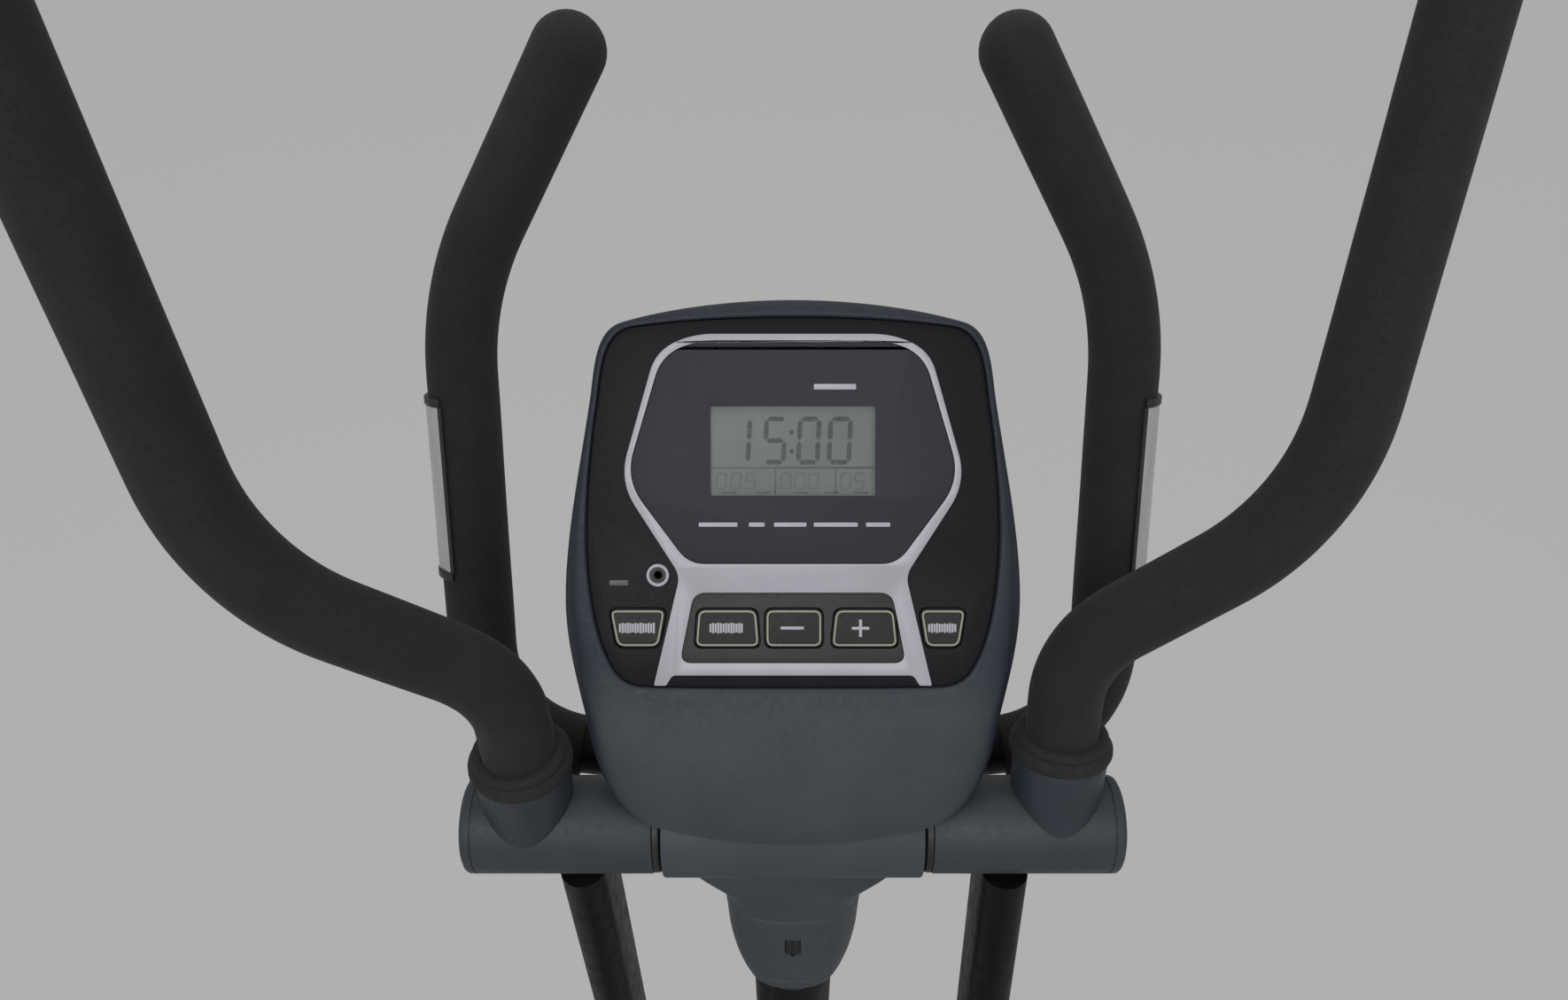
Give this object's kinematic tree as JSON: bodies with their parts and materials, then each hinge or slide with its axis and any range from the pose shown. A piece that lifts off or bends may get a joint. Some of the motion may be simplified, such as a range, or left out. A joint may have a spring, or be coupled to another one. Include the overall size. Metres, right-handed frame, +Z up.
{
  "type": "elliptical trainer",
  "caption": "Elliptical trainer with an upright console, fixed handlebars with pulse plates, moving handles on a pivot axle, pedal arms, crank and rear flywheel.",
  "frame": {"origin": "middle of the footprint, on the floor", "axes": "+X to the user's right, +Y forward from the flywheel to the console, +Z up"},
  "size_m": [0.57, 1.2807, 1.5943],
  "materials": {
    "slate_plastic": "fine-grained slate grey moulded plastic",
    "black_plastic": "satin black moulded plastic",
    "panel_black": "semi-gloss black fascia",
    "key_rubber": "soft black key top",
    "black_paint": "black powder coat on steel",
    "foam": "closed-cell foam, matt black",
    "rubber": "matt black rubber",
    "steel": "turned steel, lightly brushed",
    "plate_steel": "plated hand-pulse plate",
    "silver_trim": "silver paint line on plastic",
    "lens": "smoked clear window",
    "display": "grey-green reflective liquid crystal",
    "circuit_green": "green circuit laminate",
    "cast_iron": "machined cast iron"
  },
  "bodies": {
    "frame": {"main_frame": "black_paint", "front_stabilizer": "black_paint", "rear_stabilizer": "black_paint", "front_cap_left": "black_plastic", "front_cap_right": "black_plastic", "mast": "black_paint", "pivot_axle": "steel", "neck_cover_front": "slate_plastic", "neck_cover_rear": "slate_plastic", "fixed_handlebar": "black_paint", "fixed_grip_left": "foam", "fixed_grip_right": "foam", "pulse_plate_left": "plate_steel", "pulse_plate_right": "plate_steel", "console_front_shell": "slate_plastic", "console_back_shell": "slate_plastic", "battery_door": "slate_plastic", "keypad_panel": "panel_black", "silver_trim": "silver_trim", "display_lens": "lens", "display_module": "display", "circuit_board": "circuit_green", "pulse_socket": "black_plastic", "flywheel_axle": "steel", "drive_belt": "rubber", "housing_left": "slate_plastic", "housing_right": "slate_plastic"},
    "swing_left": {"pivot_sleeve_left": "slate_plastic", "pivot_bush_left": "black_plastic", "lower_arm_left": "black_paint", "handle_tube_left": "black_paint", "handle_grip_left": "foam"},
    "pedal_left": {"pedal_arm_left": "black_paint", "pedal_bolt_left": "steel", "foot_plate_left": "black_plastic"},
    "swing_right": {"pivot_sleeve_right": "slate_plastic", "pivot_bush_right": "black_plastic", "lower_arm_right": "black_paint", "handle_tube_right": "black_paint", "handle_grip_right": "foam"},
    "pedal_right": {"pedal_arm_right": "black_paint", "pedal_bolt_right": "steel", "foot_plate_right": "black_plastic"},
    "crank": {"crank_axle": "steel", "drive_pulley": "black_plastic", "crank_disc_left": "black_plastic", "crank_disc_right": "black_plastic", "crank_arm_left": "black_paint", "crank_arm_right": "black_paint"},
    "flywheel": {"flywheel": "cast_iron"},
    "brake": {"brake_arm": "steel"},
    "key_reset": {"key_reset": "key_rubber"},
    "key_mode": {"key_mode": "key_rubber"},
    "key_minus": {"key_minus": "key_rubber"},
    "key_plus": {"key_plus": "key_rubber"},
    "key_recovery": {"key_recovery": "key_rubber"},
    "transport_wheel_left": {"transport_wheel_left": "rubber"},
    "rear_cap_left": {"rear_cap_left": "black_plastic"},
    "transport_wheel_right": {"transport_wheel_right": "rubber"},
    "rear_cap_right": {"rear_cap_right": "black_plastic"}
  },
  "joints": [
    {"name": "swing_left", "type": "hinge", "parent": "frame", "child": "swing_left", "pos_m": [0, 0.3715, 1.17], "axis": [1, 0, 0], "range_deg": [-15.98, 3.41]},
    {"name": "swing_right", "type": "hinge", "parent": "frame", "child": "swing_right", "pos_m": [0, 0.3715, 1.17], "axis": [1, 0, 0], "range_deg": [-3.41, 17.41]},
    {"name": "pedal_pivot_left", "type": "hinge", "parent": "swing_left", "child": "pedal_left", "pos_m": [0, 0.45199, 0.34391], "axis": [1, 0, 0], "range_deg": [-3.41, 15.98]},
    {"name": "pedal_pivot_right", "type": "hinge", "parent": "swing_right", "child": "pedal_right", "pos_m": [0, 0.27039, 0.34618], "axis": [1, 0, 0], "range_deg": [-15.98, 3.41]},
    {"name": "crank_spin", "type": "hinge", "parent": "frame", "child": "crank", "pos_m": [0, -0.3285, 0.354], "axis": [1, 0, 0], "continuous": true},
    {"name": "flywheel_spin", "type": "hinge", "parent": "frame", "child": "flywheel", "pos_m": [0, -0.4785, 0.259], "axis": [1, 0, 0], "continuous": true},
    {"name": "brake_lift", "type": "hinge", "parent": "frame", "child": "brake", "pos_m": [0, -0.39246, 0.13613], "axis": [1, 0, 0], "range_deg": [-0.8, 3]},
    {"name": "key_reset_press", "type": "slide", "parent": "frame", "child": "key_reset", "axis": [0, 0.8192, -0.5736], "range_m": [0, 0.0008], "stiffness_N_per_m": 500, "springref_m": -0.001},
    {"name": "key_mode_press", "type": "slide", "parent": "frame", "child": "key_mode", "axis": [0, 0.8192, -0.5736], "range_m": [0, 0.0008], "stiffness_N_per_m": 500, "springref_m": -0.001},
    {"name": "key_minus_press", "type": "slide", "parent": "frame", "child": "key_minus", "axis": [0, 0.8192, -0.5736], "range_m": [0, 0.0008], "stiffness_N_per_m": 500, "springref_m": -0.001},
    {"name": "key_plus_press", "type": "slide", "parent": "frame", "child": "key_plus", "axis": [0, 0.8192, -0.5736], "range_m": [0, 0.0008], "stiffness_N_per_m": 500, "springref_m": -0.001},
    {"name": "key_recovery_press", "type": "slide", "parent": "frame", "child": "key_recovery", "axis": [0, 0.8192, -0.5736], "range_m": [0, 0.0008], "stiffness_N_per_m": 500, "springref_m": -0.001},
    {"name": "transport_wheel_left_spin", "type": "hinge", "parent": "frame", "child": "transport_wheel_left", "pos_m": [-0.256, 0.6185, 0.027], "axis": [1, 0, 0], "continuous": true},
    {"name": "transport_wheel_right_spin", "type": "hinge", "parent": "frame", "child": "transport_wheel_right", "pos_m": [0.256, 0.6185, 0.027], "axis": [1, 0, 0], "continuous": true},
    {"name": "rear_cap_left_turn", "type": "hinge", "parent": "frame", "child": "rear_cap_left", "pos_m": [-0.2585, -0.5685, 0.0275], "axis": [1, 0, 0], "range_deg": [0, 180]},
    {"name": "rear_cap_right_turn", "type": "hinge", "parent": "frame", "child": "rear_cap_right", "pos_m": [0.2585, -0.5685, 0.0275], "axis": [1, 0, 0], "range_deg": [0, 180]}
  ],
  "couplings": [
    {"joint": "swing_right", "follows": "swing_left", "ratio": -1},
    {"joint": "pedal_pivot_left", "follows": "swing_left", "ratio": -1},
    {"joint": "pedal_pivot_right", "follows": "swing_left", "ratio": 1},
    {"joint": "flywheel_spin", "follows": "crank_spin", "ratio": 5.4545}
  ]
}
